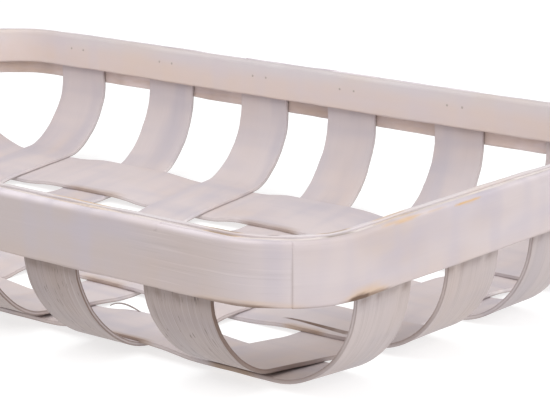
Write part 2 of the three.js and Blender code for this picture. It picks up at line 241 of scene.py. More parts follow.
def whitewashed_bamboo(name, wash, light_and_cool_tint, warm, cool, dark_fibres, pale_fibres):
    """The finish of one kind of piece, from its wash, the paler tint that is painted on it as light
    (on the inner hoop, its cooler upper white), the tints of its warm and cool places, and how
    strong its fibres are where they show."""
    material = bpy.data.materials.new(name)
    material.use_nodes = True
    shader = material.node_tree.nodes["Principled BSDF"]
    grain = add_node(material, "ShaderNodeAttribute", {}, attribute_name="grain")
    wear_and_shade = add_node(material, "ShaderNodeAttribute", {}, attribute_name="wear_and_shade")
    fibrous = add_node(material, "ShaderNodeAttribute", {}, attribute_name="fibrous")
    painted_light_and_cool_tone = add_node(material, "ShaderNodeAttribute", {}, attribute_name="painted_light_and_cool_tone")
    wear_and_shade_parts = add_node(material, "ShaderNodeSeparateXYZ", {0: wear_and_shade.outputs["Vector"]}).outputs
    masks = {
        "painted_light_and_cool_tone": painted_light_and_cool_tone.outputs["Fac"],
        "greyed": wear_and_shade_parts[0],
        "bare": wear_and_shade_parts[1],
        "stain_and_shade": wear_and_shade_parts[2],
    }
    for pattern, length, width, detail, low, high in PATTERNS:
        size = [1 / (length * MM), 1 / (width * MM), 1 / (width * MM)]
        scaled = add_node(
            material,
            "ShaderNodeVectorMath",
            {0: grain.outputs["Vector"], 1: size},
            operation="MULTIPLY",
        )
        noise = add_node(
            material,
            "ShaderNodeTexNoise",
            {"Vector": scaled.outputs["Vector"], "Scale": 1.0, "Detail": detail},
        )
        masks[pattern] = add_node(
            material,
            "ShaderNodeMapRange",
            {"Value": noise.outputs[0], "From Min": low, "From Max": high},
            interpolation_type="SMOOTHSTEP",
        ).outputs["Result"]
    uneven = add_node(
        material,
        "ShaderNodeMapRange",
        {"Value": masks["patchy"], "To Min": LEAST_PATCHY, "To Max": MOST_PATCHY},
    )
    speckled = add_node(
        material,
        "ShaderNodeMapRange",
        {"Value": fibrous.outputs["Fac"], "From Min": SPECKLED_FROM},
    )
    for mask, by in (
        ("streak", fibrous.outputs["Fac"]),
        ("fibre", fibrous.outputs["Fac"]),
        ("pale_fibre", fibrous.outputs["Fac"]),
        ("fleck", speckled.outputs["Result"]),
        ("bare", uneven.outputs["Result"]),
        ("stain_and_shade", uneven.outputs["Result"]),
    ):
        masks[mask] = add_node(
            material, "ShaderNodeMath", {0: masks[mask], 1: by}, operation="MULTIPLY"
        ).outputs["Value"]

    # The grey and brown tints also carry painted shade, and the pale tint carries painted light.
    colour = linear(wash)
    for mask, strength, tint in (
        ("painted_light_and_cool_tone", 1.0, light_and_cool_tint),
        ("warm", 0.6, warm),
        ("cool", 0.6, cool),
        ("band", 0.45, cool),
        ("greyed", 1.0, "7d6b63"),
        ("streak", 0.5 * dark_fibres, "7b6f68"),
        ("fibre", dark_fibres, "6a5c54"),
        ("pale_fibre", pale_fibres, "d8cecb"),
        ("bare", 1.0, "c8a068"),
        ("stain_and_shade", 1.0, "5f4636"),
        ("fleck", 0.75, "5d504a"),
    ):
        share = add_node(
            material, "ShaderNodeMath", {0: masks[mask], 1: strength}, operation="MULTIPLY"
        )
        colour = add_node(
            material,
            "ShaderNodeMix",
            {MIX_SHARE: share.outputs["Value"], MIX_UNDER: colour, MIX_OVER: linear(tint)},
            data_type="RGBA",
        ).outputs[MIX_RESULT]
    material.node_tree.links.new(colour, shader.inputs["Base Color"])
    relief = add_node(
        material,
        "ShaderNodeBump",
        {"Height": masks["fibre"], "Strength": RELIEF_STRENGTH, "Distance": RELIEF_HEIGHT},
    )
    material.node_tree.links.new(relief.outputs["Normal"], shader.inputs["Normal"])
    shader.inputs["Roughness"].default_value = WASH_ROUGHNESS
    shader.inputs["IOR"].default_value = WASH_IOR
    return material


strip_finish = whitewashed_bamboo(
    "whitewashed_split_bamboo", "ccc1c1", "f6efee", "c8b6ae", "b5afb8", 0.34, 0.16
)


def flat_bar(length, width, thickness, cell, cells_across, cuts):
    """A flat bar along X round the origin, cut into cells and along some more lines across it."""
    form = bmesh.new()
    bmesh.ops.create_grid(
        form, x_segments=round(length / cell), y_segments=cells_across, size=0.5
    )
    bmesh.ops.scale(form, vec=(length, width, 1), verts=form.verts)
    bmesh.ops.translate(form, vec=(0, 0, -thickness / 2), verts=form.verts)
    raised = bmesh.ops.extrude_face_region(form, geom=form.faces[:], use_keep_orig=True)
    top = [v for v in raised["geom"] if isinstance(v, bmesh.types.BMVert)]
    bmesh.ops.translate(form, vec=(0, 0, thickness), verts=top)
    bmesh.ops.recalc_face_normals(form, faces=form.faces)
    for axis, place in cuts:
        spot = Vector((0, 0, 0))
        spot[axis] = place
        facing = Vector((0, 0, 0))
        facing[axis] = 1
        everything = form.verts[:] + form.edges[:] + form.faces[:]
        bmesh.ops.bisect_plane(form, geom=everything, plane_co=spot, plane_no=facing)
    return form


def ease_edges(form, radius, segments, side, face):
    """Rounds the bar's sharp long edges on one side across it and one face of it, each +1 or -1."""
    edges = []
    for edge in form.edges:
        middle = (edge.verts[0].co + edge.verts[1].co) / 2
        lengthwise = abs((edge.verts[0].co - edge.verts[1].co).normalized().x) > LENGTHWISE
        sharp = edge.calc_face_angle(0) > SHARP_ANGLE
        if lengthwise and sharp and middle.y * side > 0 and middle.z * face > 0:
            edges.append(edge)
    bmesh.ops.bevel(
        form,
        geom=edges,
        offset=radius,
        segments=segments,
        profile=0.5,
        affect="EDGES",
        material=-1,
    )


def waver(along, seed, wavelength):
    """A smooth swing between about -1 and 1 along a piece, never the same twice."""
    turns = 2 * math.pi * along / wavelength
    swing = np.sin(turns + 5.1 * seed) + 0.6 * np.sin(1.87 * turns + 2.7 * seed)
    return (swing + 0.4 * np.sin(3.41 * turns + 8.3 * seed)) / 1.6


def finish_piece(name, form, places, grain, look, material, node):
    """Moves a form's points to their places and makes it a piece with its finish, body and node.
    look gives its wear with painted shade, how far its fibres show, and its painted light and cool
    tone."""
    wear_and_shade, fibrous, painted_light_and_cool_tone = look
    grain_layer = form.verts.layers.float_vector.new("grain")
    wear_and_shade_layer = form.verts.layers.float_vector.new("wear_and_shade")
    fibrous_layer = form.verts.layers.float.new("fibrous")
    painted_light_and_cool_tone_layer = form.verts.layers.float.new("painted_light_and_cool_tone")
    for i, vert in enumerate(form.verts):
        vert.co = places[i]
        vert[grain_layer] = grain[i]
        vert[wear_and_shade_layer] = wear_and_shade[i]
        vert[fibrous_layer] = fibrous[i]
        vert[painted_light_and_cool_tone_layer] = painted_light_and_cool_tone[i]
    bmesh.ops.recalc_face_normals(form, faces=form.faces)
    mesh = bpy.data.meshes.new(name)
    form.to_mesh(mesh)
    form.free()
    mesh.materials.append(material)
    mesh.shade_smooth()
    mesh.set_sharp_from_angle(angle=SMOOTH_ANGLE)
    piece = bpy.data.objects.new(name, mesh)
    bpy.context.scene.collection.objects.link(piece)
    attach(piece, "root")
    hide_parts(node)


def bezier(points):
    """Points along a cubic curve, without its first."""
    a, b, c, d = [np.array(p) for p in points]
    return [
        a * (1 - t) ** 3 + 3 * b * t * (1 - t) ** 2 + 3 * c * t**2 * (1 - t) + d * t**3
        for t in np.arange(1, LINE_STEPS + 1) / LINE_STEPS
    ]


def strip_line(low, high, stiffness, crossings):
    """The side view of a strip's middle line as points (run, up), from one stave's end to the
    other. A crossing gives where it starts and ends, and the strip's level at both."""
    flats = []
    for near, far, near_level, far_level in crossings:
        start = np.array((near - CROSSING_MARGIN, near_level))
        end = np.array((far + CROSSING_MARGIN, far_level))
        flats.append((start, end, (end - start) / (end[0] - start[0])))
    bends = []
    for stave, place, slope in (
        (low, flats[0][0], flats[0][2]),
        (high, flats[-1][1], flats[-1][2]),
    ):
        handle = place + slope * stiffness * (stave - place[0])
        steep = (stave, BEND_TOP - stiffness * (BEND_TOP - place[1]))
        bends.append([(stave, BEND_TOP), steep, handle, place])
    points = [np.array((low, STAVE_TOP))]
    points += bezier([(low, STAVE_TOP)] * 2 + [(low, BEND_TOP)] * 2)
    points += bezier(bends[0])
    for (_, last, slope), (first, _, next_slope) in zip(flats, flats[1:]):
        half = (first[0] - last[0]) / 2
        points.append(last)
        points += bezier([last, last + slope * half, first - next_slope * half, first])
    points.append(flats[-1][1])
    points += bezier(bends[1][::-1])
    points += bezier([(high, BEND_TOP)] * 2 + [(high, STAVE_TOP)] * 2)
    return np.array(points)


def bend_along(line, distance, along, out):
    """Bends a bar along a line, given with the distance to each of its points. Returns how far each
    place's foot on the line has run, and the run and height of the place itself, out from it."""
    length = distance[-1]
    foot, before, after = [
        np.array([np.interp(place, distance, line[:, axis]) for axis in (0, 1)])
        for place in (
            along + length / 2,
            np.maximum(along + length / 2 - TANGENT_STEP, 0),
            np.minimum(along + length / 2 + TANGENT_STEP, length),
        )
    ]
    tangent = (after - before) / np.hypot(*(after - before))
    return foot[0], foot[0] - out * tangent[1], foot[1] + out * tangent[0]


# A strip's crack: its place across the tray, and its start and end along the strip. The strip is
# cut lengthwise along lines there, given in crack widths from the middle, and pulled open.
CRACKS = {"long_strip_2": (-40.4 * MM, 131 * MM, 169 * MM)}
CRACK_WIDTH = 1.1 * MM
CRACK_SPREAD = 1.9 * MM
CRACK_DEPTH = 1.2 * MM
CRACK_LINES = (-0.8, -0.5, 0, 0.5, 0.8)
CRACK_SLANT = -0.09
CRACK_PULL = 4.0 * MM
CRACK_BOTTOM = 0.01 * MM
# The shade in the open crack is painted dark: this far to each side of it, and this strongly.
HALF_CRACK_SHADE = 0.561 * MM
CRACK_SHADE = 4


def crack_in(name, along, across, depth, middle):
    """A strip's crack: how far it moves each place aside, how deep it cuts, and how dark the shade
    painted in it is.
    """
    if name not in CRACKS:
        return np.zeros((3, len(along)))
    crack_y, start, end = CRACKS[name]
    away = across - (crack_y - middle)
    pull = np.clip(1 - np.abs(away) / CRACK_PULL, 0, 1)
    past = np.clip(along, start, end) - (start + end) / 2
    opened = np.clip((along - start) / (end - start), 0, 1) * (along < end)
    aside = CRACK_SLANT * past * pull + CRACK_SPREAD * opened * pull * np.sign(away)
    half = (end - start) / 2
    torn_and_shaded = np.clip(1 - ((along - start - half) / half) ** 2, 0, 1) * (depth > FACE_LEVEL)
    deep = CRACK_DEPTH * torn_and_shaded * (np.abs(away) < CRACK_BOTTOM)
    shaded = np.clip(CRACK_SHADE * torn_and_shaded, 0, 1) * (np.abs(away) < HALF_CRACK_SHADE)
    return aside, deep, shaded


# The strips' fibres show on the outside, where the wash is thin and greyed.
INSIDE_FIBRES = 0.06
OUTSIDE_FIBRES = {"cross": 1.0, "long": 0.5}
OUTSIDE_GREYING = {"cross": 0.57, "long": 0.39}
RIM_SHADE = {"cross": 0.14, "long": 0.0}

# The brown stain on the staves' outside, just under the rim.
RIM_STAIN = 0.3
RIM_STAIN_LENGTH = 9 * MM
RIM_STAIN_DROP = 2 * MM
RIM_STAIN_DEPTH = 4.0 * MM

# The cut edges: their dirt and painted shade at the low end, in the base and at the high end of
# the strip's line, how far they darken towards the staves' tops, and the painted light on those at
# the back, low in the tray.
CUT_EDGE_DEPTH = 0.15 * MM
CUT_EDGE_CORE = 0.6 * MM
CORE_DIRT_AND_SHADE = 0.35
EDGE_DIRT_AND_SHADE = {"cross": (1.0, 0.12, 0.15), "long": (0.3, 0.12, 0.5)}
EDGE_DARKENING = {"cross": 0.5, "long": 0.15}
DARK_EDGES = {"cross_strip_6": 0.9}
DARK_EDGE_BROWN = 0.7
EDGE_LIGHT = {"cross": 0.8, "long": 0.1}
EDGE_LIGHT_PLACE = -60 * MM
EDGE_LIGHT_SPREAD = 40 * MM
EDGE_LIGHT_HEIGHT = 10 * MM
LEAST_EDGE_LIGHT = 0.1

# Stains and painted shadow along a long strip's front edge: the middle and half length of each,
# and its strength.
EDGE_STAINS_AND_SHADOWS = {
    "long_strip_1": [(102 * MM, 14 * MM, 0.5), (158 * MM, 13 * MM, 0.45)],
    "long_strip_2": [(32 * MM, 14 * MM, 0.4), (148 * MM, 12 * MM, 0.5)],
    "long_strip_4": [(-88 * MM, 22 * MM, 0.4), (30 * MM, 20 * MM, 0.4)],
}
EDGE_STAIN_AND_SHADOW_WIDTH = 2.2 * MM
EDGE_STAIN_AND_SHADOW_BROWN = 0.7
EDGE_STAIN_BARE = 0.6

# The base turns greyer towards its near right corner, less on the outside.
CORNER_GREY = 0.5
CORNER_GREY_PLACE = (105 * MM, 30 * MM)
CORNER_GREY_SPREAD = (80 * MM, 70 * MM)
CORNER_GREY_HEIGHT = 34 * MM
CORNER_GREY_OUTSIDE = 0.3
GREY_KEPT_IN_CORNER = 0.6


def strip_look(name, kind, along, across, depth, half_width, towards_end, places, torn_and_shaded, seed):
    """A strip's wear and painted shade, how far its fibres show, and the painted light on its cut
    edges.
    """
    x, y, up = places.T
    outside = depth < -FACE_LEVEL
    front_end = np.clip(-towards_end, 0, 1) ** 2
    on_edge = np.clip(1.5 - (half_width - np.abs(across)) / CUT_EDGE_DEPTH, 0, 1)
    border = np.clip(np.abs(depth) / CUT_EDGE_CORE, 0, 1)

    # Dirt and painted shade on the cut edges, more towards the ends.
    low_dirt_and_shade, base_dirt_and_shade, high_dirt_and_shade = EDGE_DIRT_AND_SHADE[kind]
    end_dirt_and_shade = np.where(towards_end < 0, low_dirt_and_shade, high_dirt_and_shade)
    dirt_and_shade = base_dirt_and_shade + (end_dirt_and_shade - base_dirt_and_shade) * towards_end**2
    dirt_and_shade = dirt_and_shade * on_edge * (CORE_DIRT_AND_SHADE + (1 - CORE_DIRT_AND_SHADE) * border)
    greyed = np.maximum(dirt_and_shade, outside * OUTSIDE_GREYING[kind])
    corner_grey = CORNER_GREY * np.clip((x - CORNER_GREY_PLACE[0]) / CORNER_GREY_SPREAD[0], 0, 1)
    corner_grey = corner_grey * np.clip((CORNER_GREY_PLACE[1] - y) / CORNER_GREY_SPREAD[1], 0, 1)
    corner_grey = corner_grey * np.clip(2 - 2 * up / CORNER_GREY_HEIGHT, 0, 1) * np.where(outside, CORNER_GREY_OUTSIDE, 1)
    greyed = np.maximum(greyed, greyed * GREY_KEPT_IN_CORNER + corner_grey)
    greyed = greyed + RIM_SHADE[kind] * outside * np.clip(up / BEND_TOP, 0, 1) ** 2
    front_edge = DARK_EDGES.get(name, 0) * on_edge * front_end
    greyed = np.maximum(greyed, front_edge)

    under_rim = np.clip(1 - np.abs(up - BEND_TOP + RIM_STAIN_DROP) / RIM_STAIN_DEPTH, 0, 1)
    stain_and_shade = RIM_STAIN * outside * under_rim * (1 + waver(across, seed, RIM_STAIN_LENGTH))
    # Stains and painted shadow along the front edge.
    near_edge = np.clip(1 - (half_width + across) / EDGE_STAIN_AND_SHADOW_WIDTH, 0, 1)
    bare = np.zeros_like(along)
    for middle, reach, strength in EDGE_STAINS_AND_SHADOWS.get(name, []):
        spread = np.clip(1.5 - 1.5 * ((along - middle) / reach) ** 2, 0, 1)
        spread = strength * near_edge * spread
        stain_and_shade = np.maximum(stain_and_shade, EDGE_STAIN_AND_SHADOW_BROWN * spread)
        bare = np.maximum(bare, EDGE_STAIN_BARE * spread)
    dark_ends = towards_end**2 if kind == "long" else front_end
    stain_and_shade = np.maximum(stain_and_shade, EDGE_DARKENING[kind] * on_edge * border * dark_ends)
    stain_and_shade = np.maximum(stain_and_shade, DARK_EDGE_BROWN * front_edge)
    # The crack's painted shade.
    stain_and_shade = np.clip(np.maximum(stain_and_shade, torn_and_shaded), 0, 1)

    fibrous = np.where(outside, OUTSIDE_FIBRES[kind], INSIDE_FIBRES)
    # Painted light on the cut edges towards the back, low in the tray.
    inner = np.clip((y - EDGE_LIGHT_PLACE) / EDGE_LIGHT_SPREAD, 0, 1)
    painted_light_and_cool_tone = EDGE_LIGHT[kind] * on_edge * inner
    painted_light_and_cool_tone = painted_light_and_cool_tone * np.clip(1.5 - up / EDGE_LIGHT_HEIGHT, LEAST_EDGE_LIGHT, 1)
    return np.column_stack((greyed, bare, stain_and_shade)), fibrous, painted_light_and_cool_tone


def cross_edges(name, y):
    """A cross strip's left and right edges at a place along Y."""
    low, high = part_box(name)
    slope = STRIP_SKEWS.get(name, 0) / (2 * HALF_WIDTH)
    return low.x + slope * (high.y - y), high.x - slope * (y - low.y)


def woven_strip(name, along_x, crossings, seed):
    """One strip, made flat and bent along its line."""
    low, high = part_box(name)
    if along_x:
        near, far = low.y, high.y - STRIP_FLARES.get(name, 0)
        ends, kind = (low.x, high.x), "long"
    else:
        near, far = cross_edges(name, high.y)
        ends, kind = (low.y, high.y), "cross"
    half_width = (far - near) / 2
    middle = (near + far) / 2
    edge_line = half_width - STRIP_EASE - EDGE_MARGIN
    cuts = [(2, 0), (1, -edge_line), (1, edge_line)]
    if name in CRACKS:
        cuts += [(1, CRACKS[name][0] - middle + line * CRACK_WIDTH) for line in CRACK_LINES]
    line = strip_line(ends[0] + HALF_STAVE, ends[1] - HALF_STAVE, STIFFNESS[kind], crossings)
    distance = np.concatenate(([0], np.cumsum(np.hypot(*np.diff(line, axis=0).T))))
    form = flat_bar(
        distance[-1], 2 * half_width, STRIP_THICKNESS, STRIP_CELL, STRIP_CELLS_ACROSS, cuts
    )
    for side, face in ((1, 1), (1, -1), (-1, 1), (-1, -1)):
        ease_edges(form, STRIP_EASE, EASE_SEGMENTS, side, face)
    along, across, depth = np.array([v.co for v in form.verts]).T

    share = np.abs(across / half_width)
    aside, deep, torn_and_shaded = crack_in(name, along, across, depth, middle)
    swing = EDGE_WAVER * waver(along, seed + np.sign(across), EDGE_WAVER_LENGTH)
    swing += EDGE_RIPPLE * waver(along, seed + 5 + np.sign(across), EDGE_RIPPLE_LENGTH)
    waved = across + share**2 * (swing - EDGE_INSET * np.sign(across))
    waved += SWAY * waver(along, seed + 3, SWAY_LENGTH) + aside
    cup = CUP + CUP_WAVER * waver(along, seed + 9, CUP_WAVER_LENGTH)
    out = depth + cup * (0.5 - share**2) - deep
    foot_run, run, up = bend_along(line, distance, along, out)
    if along_x:
        in_base = np.clip((BEND_TOP - up) / (BEND_TOP - WEAVE_TOP), 0, 1)
        to_back = (across / half_width + 1) / 2
        front_lift, back_lift = STRIP_LIFTS.get(name, (0, 0))
        y = middle + waved + in_base * to_back * STRIP_FLARES.get(name, 0)
        up = up + in_base * (front_lift * (1 - to_back) + back_lift * to_back)
        places = np.column_stack((run, y, np.maximum(up, 0)))
    else:
        slope = STRIP_SKEWS.get(name, 0) / (2 * HALF_WIDTH)
        x = middle + waved + slope * (high.y - run)
        places = np.column_stack((x, run, np.maximum(up, 0)))
    towards_end = np.clip(foot_run / ends[1], -1, 1)
    finish_piece(
        f"woven_{name}",
        form,
        places,
        np.column_stack((along + seed * GRAIN_SHIFT, across, depth)),
        strip_look(
            name, kind, along, across, depth, half_width, towards_end, places, torn_and_shaded, seed
        ),
        strip_finish,
        name,
    )


# A strip passes over every second one that it crosses. The seeds set each strip's own waver.
for i, name in enumerate(CROSS_NAMES, 1):
    crossings = []
    for j, other in enumerate(LONG_NAMES, 1):
        front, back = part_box(other)
        level = LEVEL_OVER if (i + j) % 2 == 1 else LEVEL_UNDER
        front_lift, back_lift = CROSSING_LIFTS.get(other, (0, 0))
        reach, drop = LOW_BENDS.get(name, (0, 0)) if j == 1 else (0, 0)
        crossings.append((front.y + reach, back.y, level + front_lift - drop, level + back_lift))
    woven_strip(name, False, crossings, i * 1.3)
for j, name in enumerate(LONG_NAMES, 1):
    crossings = []
    for i, other in enumerate(CROSS_NAMES, 1):
        front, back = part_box(name)
        level = LEVEL_OVER if (i + j) % 2 == 0 else LEVEL_UNDER
        left, right = cross_edges(other, back.y)[0], cross_edges(other, front.y)[1]
        crossings.append((left, right, level, level))
    woven_strip(name, True, crossings, 20 + j * 1.7)


# A splinter of the same bamboo has come loose along the first long strip's inner edge. It is still
# fast at both ends, where it tapers into the strip, and arches up between them.
SPLINTER_START = 60 * MM
SPLINTER_LENGTH = 19 * MM
SPLINTER_THICKNESS = 0.5 * MM
SPLINTER_CURL = 2.2 * MM
SPLINTER_LEAN = 0.3
SPLINTER_INSET = 0.8 * MM
SPLINTER_SUNK = 0.4 * MM
SPLINTER_WIDENING = 1.2
SPLINTER_WEAR = (0.5, 0.0, 0.2)
SPLINTER_FIBRES = 0.5

form = flat_bar(SPLINTER_LENGTH, SPLINTER_THICKNESS, SPLINTER_THICKNESS, MM, 1, [])
along, across, depth = np.array([v.co for v in form.verts]).T
share = 2 * along / SPLINTER_LENGTH
splinter_foot = LEVEL_OVER + STRIP_THICKNESS / 2 - SPLINTER_SUNK
x = SPLINTER_START + SPLINTER_LENGTH / 2 + along
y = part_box("long_strip_1")[1].y - SPLINTER_INSET + across * (SPLINTER_WIDENING - share**2)
up = splinter_foot + depth + SPLINTER_CURL * (1 - share**2) * (1 - SPLINTER_LEAN * share)
finish_piece(
    "curled_splinter",
    form,
    np.column_stack((x, y, up)),
    np.column_stack((along, across, depth)),
    (
        np.tile(SPLINTER_WEAR, (len(along), 1)),
        np.full(len(along), SPLINTER_FIBRES),
        np.zeros(len(along)),
    ),
    strip_finish,
    "long_strip_1",
)


# The outer hoop: two thick strips of split bamboo, bent round the tray and whitewashed. Their ends
# are cut to half thickness and lapped, in the near corner and at the back. The upper outer edge is
# sanded to a soft crown, and the wash has worn to bare bamboo along some of the edges.
CORNER_RADIUS = 40 * MM
HALF_SIDE_X = HALF_LENGTH - CORNER_RADIUS
HALF_SIDE_Y = HALF_WIDTH - CORNER_RADIUS
CORNER_ARC = CORNER_RADIUS * math.pi / 2
QUARTER = HALF_SIDE_X + CORNER_ARC + HALF_SIDE_Y
OUTER_HOOP_BOTTOM, OUTER_HOOP_TOP = [corner.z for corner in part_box("outer_hoop_left")]
OUTER_HOOP_THICKNESS = 4.2 * MM
LAP_LENGTH = 60 * MM
HALF_SEAM = 0.012 * MM
HALF_LAP_GAP = 0.05 * MM
LAP_SLIVER = 0.01 * MM
NEAR_SEAM_ANGLE = 46
NEAR_SEAM = -HALF_SIDE_Y - CORNER_RADIUS * math.radians(NEAR_SEAM_ANGLE)
FAR_SEAM_X = -46 * MM
FAR_SEAM = QUARTER - FAR_SEAM_X
HOOP_CELL = 2.5 * MM
HOOP_CELLS_UP = 8
HOOP_EASE = 0.9 * MM
HOOP_EASE_SEGMENTS = 3
SLOT_EASE = 0.35 * MM
CROWN_ROUND = 2.7 * MM
CROWN_STRETCH = 1.25
CROWN_SEGMENTS = 6
INNER_ROUND_SEGMENTS = 4
HOOP_INSET = 0.3 * MM
HOOP_WAVER = 0.22 * MM
HOOP_WAVER_LENGTH = 130 * MM
HOOP_RIPPLE = 0.08 * MM
HOOP_RIPPLE_LENGTH = 29 * MM
HOOP_GRAIN_SHIFT = 0.77
PATCH_FIRMNESS = 1.6

# The hoops are cut along these lines above their lower edge and beside their seams, so that the
# painted shade, the stains and the seam lines there have a sharp border.
LOW_LINES = (1.5 * MM, 2.3 * MM)
SEAM_STAIN_WIDTH = 0.8 * MM


def from_right_end(along):
    """A distance along the rim, taken from the middle of the right end the shorter way round."""
    return np.mod(along + 2 * QUARTER, 4 * QUARTER) - 2 * QUARTER


def rim_place(along, depth):
    """The plan of the rim: x and y at a distance along its outside, counter-clockwise from the
    middle of the right end, and at a depth in from it."""
    turned = from_right_end(along)
    folded = np.minimum(np.abs(turned), 2 * QUARTER - np.abs(turned))
    angle = np.clip((folded - HALF_SIDE_Y) / CORNER_RADIUS, 0, math.pi / 2)
    reach = CORNER_RADIUS - depth
    x = HALF_SIDE_X - np.maximum(folded - HALF_SIDE_Y - CORNER_ARC, 0) + reach * np.cos(angle)
    y = np.minimum(folded, HALF_SIDE_Y) + reach * np.sin(angle)
    return np.where(np.abs(turned) > QUARTER, -x, x), np.where(turned < 0, -y, y)


def patch(along, up, patches):
    """How far places lie in soft oval patches, each given as its middle along and up, its half
    length and half height, and its strength."""
    total = np.zeros_like(along)
    for middle, height, half_length, half_height, strength in patches:
        away = from_right_end(along - middle)
        inside = 1 - (away / half_length) ** 2 - ((up - height) / half_height) ** 2
        total = np.maximum(total, strength * np.clip(inside * PATCH_FIRMNESS, 0, 1))
    return total


def bent_hoop(name, start, end, outside, inside, rounds, stretch, seed, finish, look):
    """A hoop strip from start to end along the rim, lapped at both ends: the inner half of its
    thickness reaches on at the start, and the outer half at the end. rounds gives how far its upper
    edges are rounded, outside and inside, and stretch how much taller than deep the first is."""
    bottom, top = [corner.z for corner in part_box(name)]
    length = end - start
    thickness = inside - outside
    half = (top - bottom) / 2
    first = -length / 2 + LAP_LENGTH
    last = length / 2 - LAP_LENGTH
    cuts = [(0, lap + side * LAP_SLIVER) for lap in (first, last) for side in (-1, 1)]
    cuts += [(0, first + SEAM_STAIN_WIDTH), (0, length / 2 - SEAM_STAIN_WIDTH)]
    cuts += [(1, line - half) for line in LOW_LINES]
    form = flat_bar(length, 2 * half, thickness, HOOP_CELL, HOOP_CELLS_UP, cuts)
    ease_edges(form, rounds[0], CROWN_SEGMENTS, 1, 1)
    ease_edges(form, rounds[1], INNER_ROUND_SEGMENTS, 1, -1)
    ease_edges(form, HOOP_EASE, HOOP_EASE_SEGMENTS, -1, 1)
    ease_edges(form, HOOP_EASE, HOOP_EASE_SEGMENTS, -1, -1)
    bar_along, height, out = np.array([v.co for v in form.verts]).T

    along = bar_along + (start + end) / 2
    depth = (outside + inside) / 2 - out
    share = (depth - outside) / thickness
    below = half - height
    reach = stretch * rounds[0]
    rest = 2 * half - rounds[0]
    lowered = np.where(
        below < rounds[0],
        stretch * below,
        reach + (below - rounds[0]) * (2 * half - reach) / rest,
    )
    height = half - below * share - lowered * (1 - share)
    thin = thickness / 2 - HALF_LAP_GAP
    depth = np.where(bar_along < first, inside - thin + share * thin, depth)
    depth = np.where(bar_along > last, outside + share * thin, depth)
    swing = HOOP_WAVER * waver(along, seed, HOOP_WAVER_LENGTH)
    swing += HOOP_RIPPLE * waver(along, seed + 3, HOOP_RIPPLE_LENGTH)
    swing -= HOOP_INSET * np.sign(height)
    up = (bottom + top) / 2 + height + np.abs(height / half) * swing
    x, y = rim_place(along, depth)
    places = np.column_stack((x, y, up))
    grain = np.column_stack((along + seed * HOOP_GRAIN_SHIFT, height, out))
    finish_piece(
        f"bent_{name}",
        form,
        places,
        grain,
        look(along, up, share),
        finish,
        name,
    )


# Whitewashed thick bamboo, split, planed and sanded: a thicker wash than on the strips. The eye
# gets a smooth pinkish grey-white that turns peach where it thins out towards the edges.
outer_hoop_finish = whitewashed_bamboo(
    "whitewashed_hoop_bamboo", "b2a6a5", "ece3ea", "b4a299", "aea6b0", 0.14, 0.3
)

# Where the wash is worn through, stained or thin: each place's middle along the rim and its height,
# its half length and half height, and its strength.
BARE_STREAKS = [
    (-83 * MM, 70.2 * MM, 14 * MM, 0.6 * MM, 0.6),
    (-62 * MM, 70.0 * MM, 9 * MM, 0.4 * MM, 0.25),
    (-40 * MM, 69.4 * MM, 10 * MM, 0.6 * MM, 0.9),
    (-107 * MM, 46.4 * MM, 15 * MM, 2.6 * MM, 0.42),
    (-158 * MM, 45.4 * MM, 30 * MM, 3.0 * MM, 0.25),
]
BROWN_STAINS = [
    (-111 * MM, 45.6 * MM, 7 * MM, 1.9 * MM, 1.3),
    (-106 * MM, 45.2 * MM, 18 * MM, 1.7 * MM, 0.75),
    (-163 * MM, 44.7 * MM, 24 * MM, 2.1 * MM, 0.8),
    (-138 * MM, 44.6 * MM, 26 * MM, 1.2 * MM, 0.4),
]
FIBROUS_PLACES = [(-176 * MM, 58 * MM, 46 * MM, 22 * MM, 0.5)]

# Painted shade lies brown along the lower edge, with peach above it, and the hoop's inside is
# peach.
LOW_EDGE_SHADE_HEIGHT = 1.2 * MM
LOW_EDGE_SHADE = 0.4
LOW_PEACH_HEIGHT = 7 * MM
LOW_PEACH = 0.1
INSIDE_PEACH = 0.34
INSIDE_FADE = 2 * MM
INSIDE_SHARE = 0.9

# The seam is grey below the crown. A highlight is painted on the crown, and light on the right
# end's outside.
SEAM_GREY = 0.3
SEAM_FADE = 12 * MM
SEAM_SHARE = 0.5
RIGHT_END_PLACE = 185 * MM
RIGHT_END_FADE = 40 * MM
RIGHT_END_LIGHT = 0.2
CROWN_HIGHLIGHT_DEPTH = 1.8 * MM
CROWN_HIGHLIGHT = 0.7
CROWN_HIGHLIGHT_LESS = 0.3
OUTER_FIBRES = 0.1
CROWN_FIBRES = 0.3


